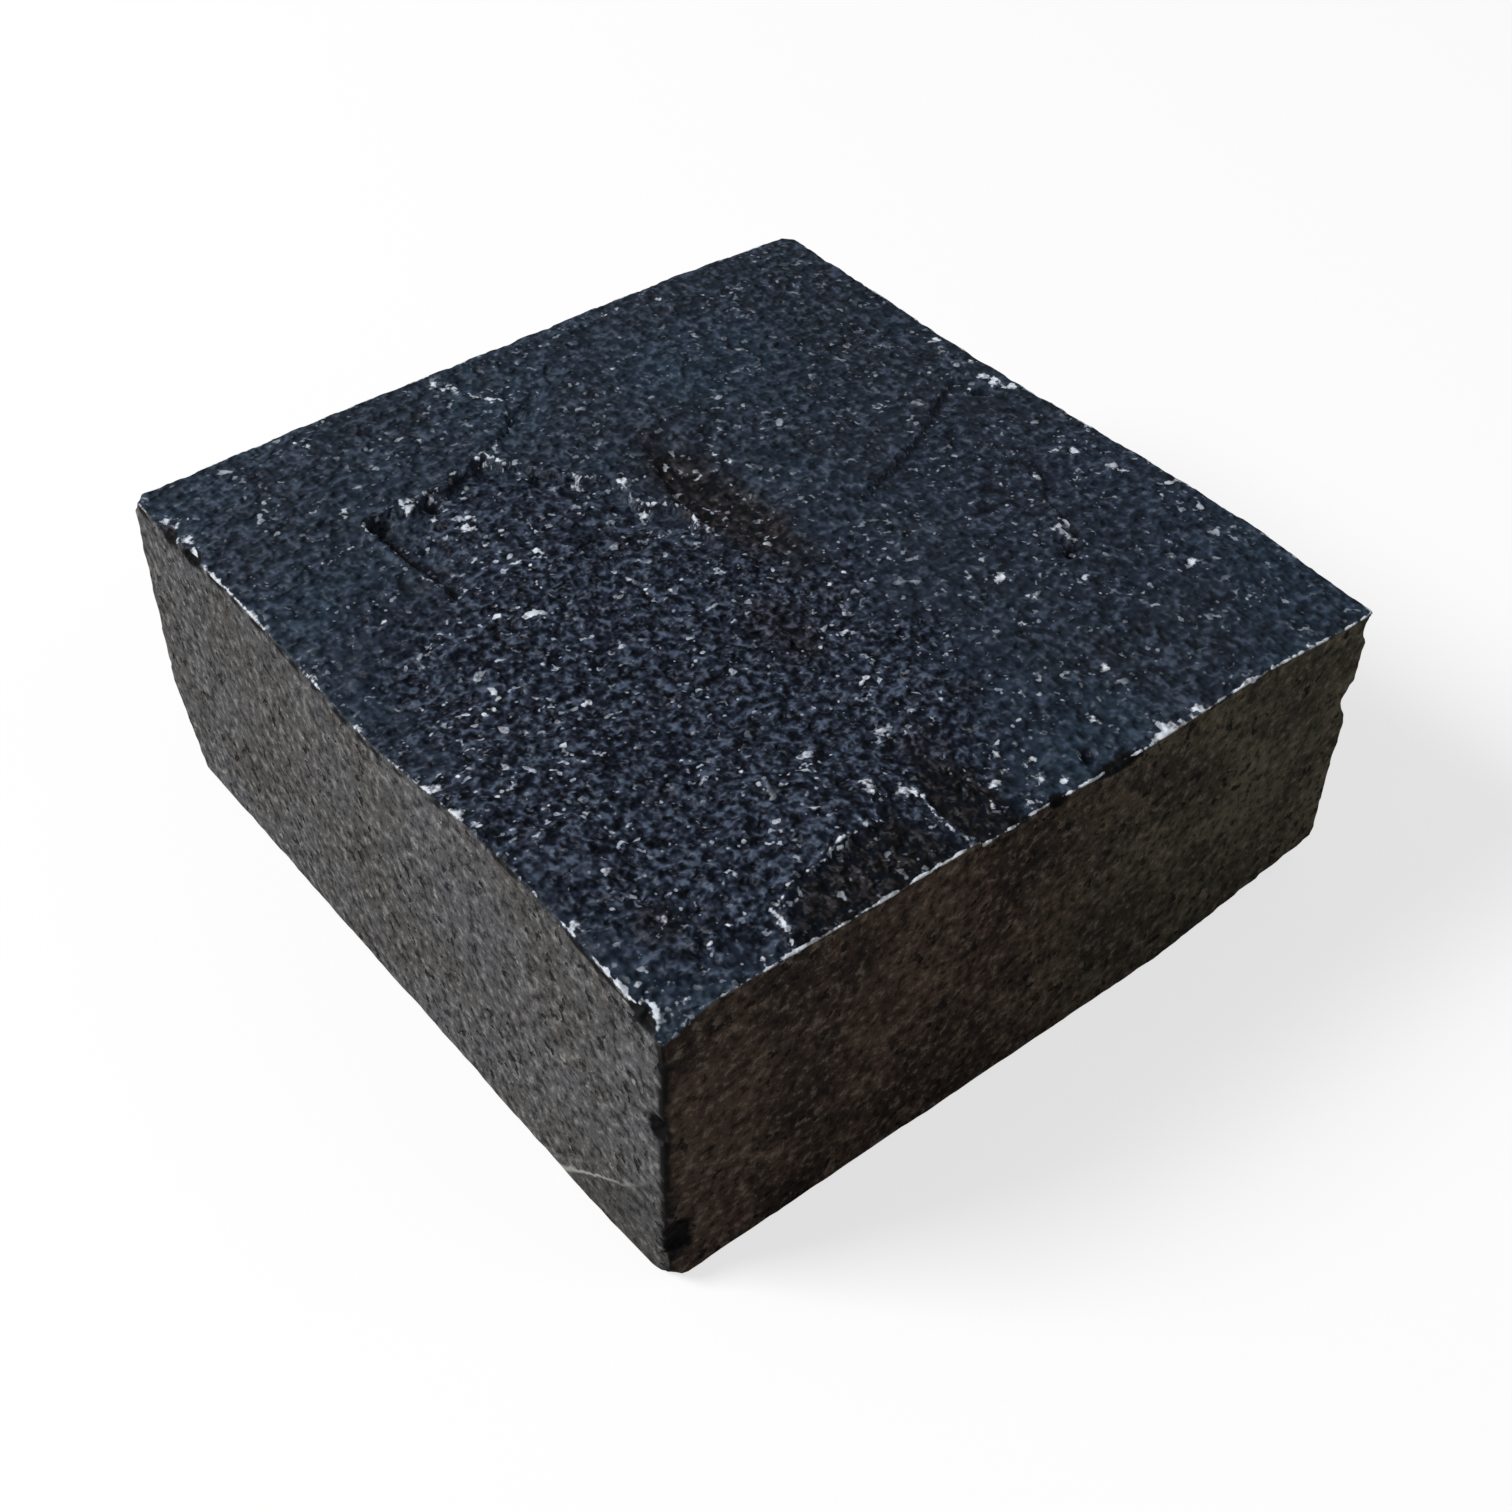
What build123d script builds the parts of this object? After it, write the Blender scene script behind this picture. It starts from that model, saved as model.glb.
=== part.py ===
from build123d import *
from math import exp
import os

# A small square basalt sett: four sawn sides, a sawn bed and a split top.
# Frame: the origin is the middle of the bed, +Z is up, +X runs along the front face and
# +Y from the front face to the back one. All sizes are in millimetres.

# Sawn block.
width = 98.5
depth = 102.0
height = 40.0
saw_edge_wear = 0.5
foot_wear = 0.8
arris_crush = 0.4

half_width = width / 2
half_depth = depth / 2

# Split top: each swell or hollow of the cleft face as middle x, y, rise and reach.
crown_left_front = (-49.0, -26.0, 1.7, 15.0)
hollow_left_middle = (-49.0, 1.0, -1.3, 13.0)
hollow_left_back = (-47.0, 50.0, -0.7, 15.0)
swell_back = (26.0, 50.0, 0.6, 17.0)
hollow_right = (49.0, 16.0, -0.5, 14.0)
swell_right = (49.0, -27.0, 0.4, 15.0)
hollow_front = (9.0, -51.0, -0.9, 15.0)
hollow_front_right = (46.0, -51.0, -1.1, 11.0)
swell_front_left = (-22.0, -40.0, 1.6, 10.0)
swell_middle = (6.0, 30.0, 0.6, 20.0)
hollow_brown_stain = (4.5, 10.0, -0.7, 9.0)
hollow_middle = (-20.0, -8.0, -0.5, 20.0)
cleft_waves = (
    crown_left_front,
    hollow_left_middle,
    hollow_left_back,
    swell_back,
    hollow_right,
    swell_right,
    hollow_front,
    hollow_front_right,
    swell_front_left,
    swell_middle,
    hollow_brown_stain,
    hollow_middle,
)
cleft_headroom = 5.0
cleft_margin = 4.0
cleft_samples = 29

# Flake scars of the top. Each has an outline, seen from above, and a flat floor at a
# slant, stated as its height at the front of the outline and at the back.
patch_scar = (
    [
        (-31.0, 10.0),
        (-31.2, 21.0),
        (-30.0, 29.5),
        (-22.0, 29.5),
        (-14.0, 32.0),
        (-11.5, 27.0),
        (-4.0, 19.0),
        (-4.5, 13.0),
        (-1.5, 8.0),
        (-2.5, -2.0),
        (-16.0, -9.0),
        (-29.0, -1.0),
    ],
    39.75,
    38.95,
)
front_scar = (
    [
        (-33.0, -53.0),
        (-32.0, -44.5),
        (-29.0, -42.5),
        (-18.0, -41.5),
        (-14.0, -38.5),
        (-11.0, -40.5),
        (-10.5, -53.0),
    ],
    39.9,
    41.7,
)
dark_facet_scar = (
    [
        (-10.6, -53.0),
        (-11.2, -43.5),
        (-8.2, -38.8),
        (-5.2, -40.6),
        (-3.6, -53.0),
    ],
    39.2,
    40.1,
)
ledge_scar = (
    [
        (12.0, -8.0),
        (18.0, -1.0),
        (27.0, 2.0),
        (36.0, 7.0),
        (44.0, 11.5),
        (51.5, 11.0),
        (51.5, -3.0),
        (36.0, -9.0),
    ],
    40.0,
    39.35,
)
flake_scars = (patch_scar, front_scar, dark_facet_scar, ledge_scar)

# Broken corners: which corner, and how far the break runs from it along X, Y and Z.
spall_front_left_foot = (-1, -1, 2.0, 17.0, 14.0)
break_front_left_foot = (-1, -1, 5.0, 6.0, 5.5)
break_back_left_foot = (-1, 1, 7.0, 5.5, 13.0)
break_front_right_foot = (1, -1, 29.0, 20.0, 4.2)
broken_feet = (
    spall_front_left_foot,
    break_front_left_foot,
    break_back_left_foot,
    break_front_right_foot,
)

# Shell-shaped chips of the split face's rim: x and y on the rim, the way out of the stone,
# radius and depth.
rim_chips = (
    (-half_width, -half_depth, (-1.0, -0.4, 0.6), 4.5, 1.8),
    (-half_width, half_depth, (-1.0, 1.0, 0.6), 5.0, 1.1),
    (-half_width, 42.0, (-1.0, 0.0, 0.5), 2.4, 1.0),
    (-half_width, 36.5, (-1.0, 0.0, 0.5), 2.8, 1.1),
    (0.3, -half_depth, (0.0, -1.0, 0.6), 1.6, 0.9),
    (9.0, -half_depth, (0.0, -0.5, 1.0), 8.0, 1.1),
    (half_width, 13.0, (1.0, 0.0, 0.9), 9.0, 0.8),
    (half_width, half_depth, (1.0, 1.0, 0.8), 4.0, 1.0),
)

# Chips of the upright edges: a point on the edge, then the same.
edge_chips = (
    ((-half_width, -half_depth, 23.5), (-0.8, -1.0, 0.0), 3.0, 1.2),
    ((-half_width + 1.1, -half_depth, 7.6), (-0.2, -1.0, 0.0), 2.5, 1.1),
    ((half_width, -half_depth, 37.0), (1.0, -0.5, 0.0), 2.6, 1.1),
    ((half_width, -half_depth, 26.5), (1.0, -0.4, 0.0), 3.2, 1.5),
)


def cleft_height(x, y):
    """Height of the split face over the bed: the mean height plus every swell."""
    waves = (
        rise * exp(-((x - cx) ** 2 + (y - cy) ** 2) / reach**2)
        for cx, cy, rise, reach in cleft_waves
    )
    return height + sum(waves)


def cleft_surface():
    """The split face as one smooth surface that runs past all four sawn sides."""
    reach_x = half_width + cleft_margin
    reach_y = half_depth + cleft_margin
    step_x = 2 * reach_x / (cleft_samples - 1)
    step_y = 2 * reach_y / (cleft_samples - 1)
    xs = [-reach_x + i * step_x for i in range(cleft_samples)]
    ys = [-reach_y + j * step_y for j in range(cleft_samples)]
    grid = [[(x, y, cleft_height(x, y)) for y in ys] for x in xs]
    return Face.make_surface_from_array_of_points(grid, min_deg=3)


def scar_floor(outline, front_height, back_height):
    """The slanted plane of a scar's floor, its origin below the outline's front end."""
    front = min(y for _, y in outline)
    back = max(y for _, y in outline)
    fall = (front_height - back_height) / (back - front)
    return Plane(origin=(0, front, front_height), x_dir=(1, 0, 0), z_dir=(0, fall, 1))


def foot_break_plane(side_x, side_y, run_x, run_y, run_z):
    """The plane that takes a corner off the bed, its normal pointing out of the stone."""
    corner = Vector(side_x * half_width, side_y * half_depth, 0)
    outward = Vector(side_x / run_x, side_y / run_y, -1 / run_z)
    on_front_edge = corner - Vector(side_x * run_x, 0, 0)
    return Plane(origin=on_front_edge, z_dir=outward)


def chip_centre(edge_point, way_out, radius, bite):
    """Centre of the ball that bites that deep into an edge point."""
    return Vector(edge_point) + Vector(way_out).normalized() * (radius - bite)


with BuildPart() as cobblestone:
    # Sawn block, its cut edges slightly worn.
    with BuildSketch():
        Rectangle(width, depth)
    extrude(amount=height + cleft_headroom)
    chamfer(cobblestone.edges().filter_by(Axis.Z), length=saw_edge_wear)
    chamfer(cobblestone.faces().sort_by(Axis.Z)[0].edges(), length=foot_wear)

    # The split takes off everything above the cleft face.
    split(bisect_by=cleft_surface(), keep=Keep.BOTTOM)

    chamfer(cobblestone.faces().sort_by(Axis.Z)[-1].edges(), length=arris_crush)

    # Flake scars.
    for outline, front_height, back_height in flake_scars:
        floor = scar_floor(outline, front_height, back_height)
        with BuildSketch(floor):
            with BuildLine():
                Polyline(*[(x, y - floor.origin.Y) for x, y in outline], close=True)
            make_face()
        extrude(amount=cleft_headroom, mode=Mode.SUBTRACT)

    # Broken feet.
    for foot in broken_feet:
        split(bisect_by=foot_break_plane(*foot), keep=Keep.BOTTOM)

    # Chips.
    for x, y, way_out, radius, bite in rim_chips:
        with Locations(chip_centre((x, y, cleft_height(x, y)), way_out, radius, bite)):
            Sphere(radius, mode=Mode.SUBTRACT)
    for edge_point, way_out, radius, bite in edge_chips:
        with Locations(chip_centre(edge_point, way_out, radius, bite)):
            Sphere(radius, mode=Mode.SUBTRACT)

cobblestone.part.label = "cobblestone"
os.makedirs("parts", exist_ok=True)
export_step(cobblestone.part, "parts/cobblestone.step")
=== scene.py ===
from functools import partial

import bpy
import numpy as np
from mathutils import Matrix, Vector


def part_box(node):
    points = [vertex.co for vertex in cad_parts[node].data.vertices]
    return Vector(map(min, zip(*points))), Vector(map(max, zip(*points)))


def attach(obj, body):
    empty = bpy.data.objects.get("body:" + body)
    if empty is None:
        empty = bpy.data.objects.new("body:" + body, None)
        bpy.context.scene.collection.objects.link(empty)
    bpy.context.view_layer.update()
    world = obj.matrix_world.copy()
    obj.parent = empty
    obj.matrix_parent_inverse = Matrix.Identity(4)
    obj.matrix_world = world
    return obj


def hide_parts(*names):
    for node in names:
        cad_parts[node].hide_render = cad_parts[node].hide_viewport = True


# A square sett of basalt on a pale studio floor. Its top is split and its four sides and
# bed are sawn. The stone is worked out in millimetres as whole arrays of points, and
# becomes one closed mesh in metres.

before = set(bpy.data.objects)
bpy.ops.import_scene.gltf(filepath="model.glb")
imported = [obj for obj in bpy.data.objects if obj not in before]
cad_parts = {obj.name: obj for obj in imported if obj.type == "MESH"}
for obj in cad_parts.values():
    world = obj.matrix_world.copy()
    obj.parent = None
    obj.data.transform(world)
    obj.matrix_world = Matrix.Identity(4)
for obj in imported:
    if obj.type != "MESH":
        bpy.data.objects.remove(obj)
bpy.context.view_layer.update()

MM = 0.001

# The sawn block, from the frame.
box_low, box_high = (np.array(corner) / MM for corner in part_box("cobblestone"))
half_width = box_high[0]
half_depth = box_high[1]
mean_height = 40.0

# Split top: each swell or hollow of the cleft face as middle x, y, rise and reach.
cleft_waves = (
    (-49.0, -26.0, 1.7, 15.0),
    (-49.0, 1.0, -1.3, 13.0),
    (-47.0, 50.0, -0.7, 15.0),
    (26.0, 50.0, 0.6, 17.0),
    (49.0, 16.0, -0.5, 14.0),
    (49.0, -27.0, 0.4, 15.0),
    (9.0, -51.0, -0.9, 15.0),
    (46.0, -51.0, -1.1, 11.0),
    (-22.0, -40.0, 1.6, 10.0),
    (6.0, 30.0, 0.6, 20.0),
    (4.5, 10.0, -0.7, 9.0),
    (-20.0, -8.0, -0.5, 20.0),
)

# Scarps of the split top: the line that each follows, with the lower ground on its right
# hand, then the drop, how far the low ground reaches, how wide its foot is painted dark as
# shade, and how white its lip is, as crushed stone and painted highlight.
patch_line = [
    (-29.5, 6.0),
    (-30.4, 12.0),
    (-30.9, 21.0),
    (-31.1, 28.8),
    (-27.6, 29.2),
    (-25.4, 27.9),
    (-22.4, 29.7),
    (-20.4, 29.3),
    (-18.0, 30.9),
    (-15.8, 30.4),
    (-13.4, 31.9),
    (-11.9, 28.6),
    (-7.2, 21.7),
    (-3.7, 18.4),
    (-4.3, 13.2),
    (-0.5, 10.9),
    (-1.1, 4.0),
    (-2.5, -4.0),
]
wall_line = [
    (-29.4, 11.0),
    (-30.4, 14.8),
    (-29.9, 18.6),
    (-30.9, 22.4),
    (-30.5, 25.4),
    (-31.1, 28.6),
    (-27.6, 30.4),
]
brown_line = [(6.0, -3.0), (2.4, 1.3), (0.4, 5.9), (0.2, 12.3), (1.8, 18.0), (4.0, 24.5)]
ledge_line = [
    (14.0, -2.5),
    (18.6, -0.8),
    (22.1, 0.4),
    (27.1, 2.4),
    (33.4, 5.7),
    (41.0, 10.0),
    (47.0, 12.0),
]
pit_line = [
    (27.5, -24.5),
    (29.4, -23.0),
    (31.2, -21.2),
    (33.4, -16.0),
    (36.3, -11.2),
    (38.0, -8.0),
]
back_left_line = [
    (-13.4, 31.7),
    (-9.0, 34.0),
    (-5.6, 38.0),
    (-4.5, 41.9),
    (-7.2, 44.0),
    (-8.4, 48.5),
]
left_streak_line = [(-47.1, 22.6), (-43.8, 25.1), (-38.0, 25.0), (-32.5, 27.0)]
right_crest_line = [(39.0, -14.2), (42.9, -15.4), (44.7, -16.0), (46.5, -19.0)]
scarps = (
    (patch_line, 0.9, 15.0, 0.35, 0.7),
    (wall_line, 1.2, 5.0, 1.9, 0.45),
    (brown_line, 0.7, 7.0, 1.2, 0.1),
    (ledge_line, 0.6, 6.0, 0.5, 0.3),
    (pit_line, 0.5, 5.0, 0.8, 0.45),
    (back_left_line, 0.4, 7.0, 0.5, 0.5),
    (left_streak_line, 0.25, 5.0, 0.4, 0.45),
    (right_crest_line, 0.4, 4.0, 0.6, 0.6),
)

# Flake scars at the front arris: the crest round each, with the scar on its right hand,
# then the height of its slanted floor at its front end, which lies scar_overhang before the
# arris, and scar_run behind that end, and how white its lip is, as crushed stone and painted
# highlight. The same number sets how dark the shade below the crest is painted.
scar_overhang = 2.0
scar_run = 14.5
front_scar_crest = [
    (-34.0, -53.0),
    (-32.2, -46.4),
    (-30.9, -45.0),
    (-25.5, -44.4),
    (-20.1, -43.6),
    (-17.0, -43.4),
    (-15.3, -40.3),
    (-13.9, -41.6),
    (-11.6, -42.6),
    (-11.8, -46.0),
    (-12.6, -53.0),
]
dark_facet_crest = [
    (-10.6, -53.0),
    (-11.2, -43.5),
    (-8.2, -38.8),
    (-5.2, -40.6),
    (-4.2, -45.0),
    (-3.6, -53.0),
]
flake_scars = (
    (front_scar_crest, 39.8, 41.5, 0.8),
    (dark_facet_crest, 39.1, 40.0, 0.2),
)

# Pits of the split top: middle x, y, radius and depth. Each is painted dark as shade.
pits = (
    (-22.4, 27.8, 1.0, 1.1),
    (29.4, -23.4, 1.1, 0.9),
    (-5.0, -17.5, 1.2, 0.6),
    (44.6, 7.6, 1.0, 0.7),
    (7.2, -48.6, 1.2, 0.7),
    (-10.4, 25.2, 0.9, 0.5),
)

# Crushed white spots of the split top, partly painted highlights: middle x, y and radius.
white_spots = (
    (-8.0, 47.4, 0.7),
    (-7.0, 44.2, 0.5),
    (-9.6, 48.6, 0.8),
    (-8.9, 47.0, 0.7),
    (-8.0, 45.6, 0.8),
    (-6.9, 43.0, 0.8),
    (-6.0, 41.4, 0.8),
    (-29.3, 47.8, 0.5),
    (-28.3, 46.4, 0.5),
    (-48.2, 44.0, 0.8),
    (-47.6, 42.4, 0.8),
    (-46.2, 42.8, 0.6),
    (-48.0, 39.4, 1.0),
    (-48.4, 37.0, 0.9),
    (-35.0, 34.9, 0.5),
    (-31.9, 32.2, 0.6),
    (-25.8, 28.5, 0.9),
    (-24.0, 25.8, 0.5),
    (-22.2, 29.3, 0.9),
    (-21.8, 22.1, 1.1),
    (-20.4, 23.4, 0.7),
    (-25.5, 29.7, 0.9),
    (-13.2, 30.9, 1.0),
    (-10.4, 25.4, 0.8),
    (-7.3, 21.5, 0.8),
    (-3.2, 17.8, 0.9),
    (-4.5, 11.9, 0.8),
    (-1.2, 6.8, 0.8),
    (9.1, 16.5, 0.6),
    (9.8, 14.4, 0.6),
    (7.6, 13.6, 0.5),
    (24.2, 47.2, 0.6),
    (16.4, 48.4, 0.5),
    (9.5, 37.7, 0.5),
    (47.7, 19.0, 0.8),
    (47.7, 12.4, 0.7),
    (46.7, 9.4, 0.9),
    (46.8, 7.1, 0.9),
    (47.9, 5.4, 0.8),
    (43.7, 8.6, 0.6),
    (-32.7, -18.5, 0.6),
    (-42.3, -17.7, 0.6),
    (-42.6, -41.6, 0.6),
    (-41.1, -40.6, 0.5),
    (-48.0, -12.7, 0.6),
    (41.8, -8.2, 0.7),
    (43.2, -9.8, 0.6),
    (32.2, -9.3, 0.6),
    (36.3, -11.2, 0.8),
    (33.7, -15.5, 0.7),
    (38.6, -33.5, 0.8),
    (31.3, -21.4, 0.8),
    (18.0, -39.7, 0.8),
    (15.9, -29.5, 0.6),
    (20.3, -26.7, 0.7),
    (19.4, -22.2, 0.7),
    (-14.8, -39.0, 1.0),
    (-12.0, -41.6, 1.1),
    (-5.6, -47.2, 0.6),
    (-3.8, -45.5, 0.9),
    (-0.4, -42.6, 0.6),
    (1.6, -45.2, 0.8),
    (2.6, -49.2, 0.7),
    (-1.3, -44.6, 0.7),
    (0.6, -47.4, 1.0),
    (-2.6, -49.6, 0.7),
    (11.5, -44.3, 0.7),
    (6.8, -47.6, 0.6),
)

# Iron stains of the split face: middle x, y, reach along x and y, how ragged the outline is,
# the share of the reach where the stain ends and where it is full, and its strength.
iron_stains = (
    (4.0, 8.0, 5.2, 17.0, 0.12, 1.25, 0.45, 1.0),
    (-5.0, -14.0, 4.5, 7.0, 0.15, 1.2, 0.5, 0.5),
    (-6.0, -37.5, 3.5, 4.0, 0.15, 1.2, 0.6, 0.5),
    (-42.0, -41.0, 3.0, 3.0, 0.15, 1.2, 0.6, 0.6),
)

# Broken corners: which corner, its height, and how far the break runs along X, Y and Z.
# The first of the feet is a shallow spall of the left side, which keeps the sawn colour.
# The broken rim is the front left corner of the split face.
broken_feet = (
    (-1, -1, 0.0, 0.6, 17.0, 14.0),
    (-1, -1, 0.0, 2.8, 3.4, 3.1),
    (-1, 1, 0.0, 7.0, 5.5, 13.0),
    (1, -1, 0.0, 29.0, 20.0, 4.2),
)
broken_rim = (-1, -1, mean_height, 5.8, 4.3, 2.1)

# Ridge above the spall at the front left foot, as y and z on the left side, with the
# spalled facet on its right hand.
spall_ridge = [
    (-50.6, 17.7),
    (-47.8, 14.3),
    (-44.7, 10.6),
    (-42.2, 8.7),
    (-38.1, 5.4),
    (-34.4, 2.2),
    (-32.3, 0.2),
]

# Shell-shaped chips of the split face's rim: x and y on the rim, the way out of the stone,
# radius and depth.
rim_chips = (
    (-half_width, -half_depth + 2.6, (-1.0, 0.0, 0.1), 3.0, 1.1),
    (-half_width, half_depth, (-1.0, 1.0, 0.6), 5.0, 1.1),
    (-half_width, 42.0, (-1.0, 0.0, 0.5), 2.4, 1.0),
    (-half_width, 36.5, (-1.0, 0.0, 0.5), 2.8, 1.1),
    (0.3, -half_depth, (0.0, -1.0, 0.6), 1.6, 0.9),
    (9.0, -half_depth, (0.0, -1.0, 1.0), 10.0, 0.75),
    (half_width, 13.0, (1.0, 0.0, 0.9), 9.0, 0.3),
    (half_width, half_depth, (1.0, 1.0, 0.8), 4.0, 1.0),
)

# Chips of the upright edges: a point on the edge, then the same.
edge_chips = (
    ((-half_width, -half_depth + 0.8, 25.5), (-1.0, -0.3, 0.0), 2.4, 1.1),
    ((-half_width + 1.4, -half_depth, 8.5), (0.0, -1.0, 0.0), 2.4, 1.1),
    ((-half_width + 1.3, -half_depth, 6.5), (0.0, -1.0, 0.0), 2.4, 1.1),
    ((half_width, -half_depth, 37.0), (1.0, -0.5, 0.0), 2.6, 1.1),
    ((half_width, -half_depth, 26.5), (1.0, -0.4, 0.0), 3.2, 1.5),
)

# The mesh grid: steps across the top, fine rows below the arris and coarser ones down to
# the foot, and how many steps of the top one step of the bed spans.
top_steps_x = 220
top_steps_y = 228
fine_rows = 12
side_rows = 60
bed_stride = 4

# The rays that wear the block: how deep they start, how far past the block they may end,
# how often their span is halved, and the reach of the rounding where two surfaces meet.
ray_depth = 8.0
ray_overshoot = 1.15
halvings = 14
soft_edge = 0.25

# Order of the cutting surfaces: the sawn side and bed, the split top, and the worn edges of
# the top, the corners and the foot. The broken feet, the broken rim and the chips follow.
SIDE, BED, TOP, TOP_EDGE, CORNER_EDGE, FOOT_EDGE = range(6)
first_foot = 6
broken_rim_row = first_foot + len(broken_feet)

# How far the finish follows the distance to the ridge of the spall.
ridge_reach = 3.0


def gradient_noise(points, grain, seed):
    """Gradient noise. Every corner of a lattice with cells of size grain has a random
    slope. A point's value is the height of the slopes of its cell's eight corners,
    blended by a quintic fade. It runs from about -0.8 to 0.8."""
    random = np.random.default_rng(seed)
    slopes = random.normal(size=(256, 3))
    slopes /= np.linalg.norm(slopes, axis=1, keepdims=True)
    shuffle = random.permutation(256)
    cell = np.floor(points / grain).astype(int)
    inside = points / grain - cell
    fade = inside**3 * (inside * (inside * 6 - 15) + 10)
    total = np.zeros(len(points))
    for corner in np.ndindex(2, 2, 2):
        lattice = cell + corner
        drawn = shuffle[lattice[:, 0] % 256]
        drawn = shuffle[(drawn + lattice[:, 1]) % 256]
        drawn = shuffle[(drawn + lattice[:, 2]) % 256]
        weight = np.where(corner, fade, 1 - fade).prod(axis=1)
        total += weight * np.einsum("ij,ij->i", slopes[drawn], inside - corner)
    return total * 1.4


def broken_rock(points, coarsest, octaves, height, fall, seed):
    """Relief of a fracture: octaves of noise, each with half the grain of the one before
    it and fall times its height."""
    relief = np.zeros(len(points))
    for octave in range(octaves):
        grain = coarsest / 2**octave
        relief += height * fall**octave * gradient_noise(points, grain, seed + octave)
    return relief


def smooth_step(value, start, end):
    """0 up to start, 1 from end on, and an S curve between them."""
    share = np.clip((value - start) / (end - start), 0, 1)
    return share * share * (3 - 2 * share)


def along_line(x, y, line):
    """For each point its distance to an open line of straight runs, signed plus on the
    line's right hand, and the share of the line's length at the nearest place."""
    line = np.array(line)
    runs = np.diff(line, axis=0)
    lengths = np.linalg.norm(runs, axis=1)
    starts = np.concatenate([[0], np.cumsum(lengths)])
    nearest = np.full(len(x), np.inf)
    signed = np.zeros(len(x))
    share = np.zeros(len(x))
    for (start_x, start_y), (run_x, run_y), length, start in zip(line, runs, lengths, starts):
        to_x, to_y = x - start_x, y - start_y
        along = np.clip((to_x * run_x + to_y * run_y) / length**2, 0, 1)
        distance = np.hypot(to_x - along * run_x, to_y - along * run_y)
        right_hand = np.sign(to_x * run_y - to_y * run_x)
        closer = distance < nearest
        nearest = np.where(closer, distance, nearest)
        signed = np.where(closer, distance * right_hand, signed)
        share = np.where(closer, (start + along * length) / starts[-1], share)
    return signed, share


def swell_height(x, y):
    """Height of the cleft face without its scarps and grain."""
    height = np.full(np.shape(x), mean_height)
    for middle_x, middle_y, rise, reach in cleft_waves:
        height += rise * np.exp(-((x - middle_x) ** 2 + (y - middle_y) ** 2) / reach**2)
    return height


def cleft_relief(points):
    """What the scarps, scars, pits and the grain of the fracture add to the swells, then
    how white the lips of the scarps and scars are, as crushed stone and painted highlight,
    how dark shade is painted at the foot of a wall, below a scar's crest and in a pit, and 1
    on the floors of the flake scars. A scarp is a wall at its line, with a drop that fades
    over its reach and towards the line's ends. A flake scar's floor is a plane."""
    flat = points * (1, 1, 0)
    x = points[:, 0] + 0.7 * gradient_noise(flat, 2.6, 11) + 0.35 * gradient_noise(flat, 1.0, 12)
    y = points[:, 1] + 0.8 * gradient_noise(flat, 2.2, 13)
    relief = np.zeros(len(points))
    bruise_and_highlight = np.zeros(len(points))
    deep = np.zeros(len(points))
    scarred = np.zeros(len(points))
    patchy = smooth_step(gradient_noise(flat, 2.4, 14), -0.35, 0.15)
    swell = swell_height(points[:, 0], points[:, 1])

    # Scarps.
    for line, drop, reach, shaded, whiteness in scarps:
        signed, share = along_line(x, y, line)
        taper = smooth_step(share, 0.0, 0.18) * smooth_step(share, 1.0, 0.85)
        wall = smooth_step(signed, -0.15, 0.45)
        relief -= drop * taper * wall * np.exp(-np.maximum(signed, 0) / reach)
        relief += 0.12 * drop * taper * np.exp(-(((signed + 0.5) / 0.9) ** 2))
        # The lip is painted white, as crushed stone and as a highlight, and the foot of the wall is
        # painted dark as shade.
        lip = np.exp(-(((signed + 0.35) / 0.3) ** 2))
        bruise_and_highlight = np.maximum(bruise_and_highlight, whiteness * taper * lip * patchy)
        shade = smooth_step(signed, -0.1, 0.2) * smooth_step(signed, 1.2 * shaded, 0.8 * shaded)
        deep = np.maximum(deep, taper * min(1.2 * drop, 1.0) * shade)

    # Flake scars at the front arris.
    for crest, front_height, back_height, whiteness in flake_scars:
        signed, _ = along_line(x, y, crest)
        from_end = points[:, 1] + half_depth + scar_overhang
        floor = front_height + (back_height - front_height) * from_end / scar_run
        inside = smooth_step(signed, -0.1, 0.4)
        relief += inside * np.minimum(floor - swell, 0.0)
        # The crest is painted white, as crushed stone and as a highlight, and the ground below it
        # is painted dark as shade.
        lip = np.exp(-(((signed + 0.25) / 0.25) ** 2))
        bruise_and_highlight = np.maximum(bruise_and_highlight, whiteness * (0.65 + 0.35 * patchy) * lip)
        shade = smooth_step(signed, -0.1, 0.2) * smooth_step(signed, 1.3, 0.7)
        deep = np.maximum(deep, whiteness * shade)
        scarred = np.maximum(scarred, inside * smooth_step(swell - floor, -0.3, 0.1))

    # Pits, flat-bottomed, painted dark as shade.
    for middle_x, middle_y, radius, depth in pits:
        away = np.hypot(x - middle_x, y - middle_y) / radius
        relief -= depth * np.exp(-(away**4))
        deep = np.maximum(deep, np.exp(-(away**4)))

    # Grain of the fracture: low waves and sharp-edged knobs, weaker towards the sides.
    from_side = np.minimum(half_width - np.abs(points[:, 0]), half_depth - np.abs(points[:, 1]))
    kept = 0.3 + 0.7 * smooth_step(from_side, 0.0, 4.0)
    knobs = 0.6 * np.abs(gradient_noise(flat, 3.4, 31))
    knobs += 0.45 * np.abs(gradient_noise(flat, 1.8, 32))
    hackle = 0.75 * knobs + 0.16 * gradient_noise(flat, 1.1, 33)
    relief += kept * broken_rock(flat, 10.0, 2, 0.3, 0.6, 21)
    relief += kept * (0.4 + 0.7 * rough_ground(points)) * hackle
    return relief, bruise_and_highlight, deep, scarred


def blot(points, middle_x, middle_y, reach_x, reach_y, ragged, ends, full):
    """An oval patch seen from above. With the distance from its middle as a share of its
    reach, plus ragged, it is 0 from ends on and 1 below full."""
    away = np.hypot((points[:, 0] - middle_x) / reach_x, (points[:, 1] - middle_y) / reach_y)
    return smooth_step(away + ragged, ends, full)


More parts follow.
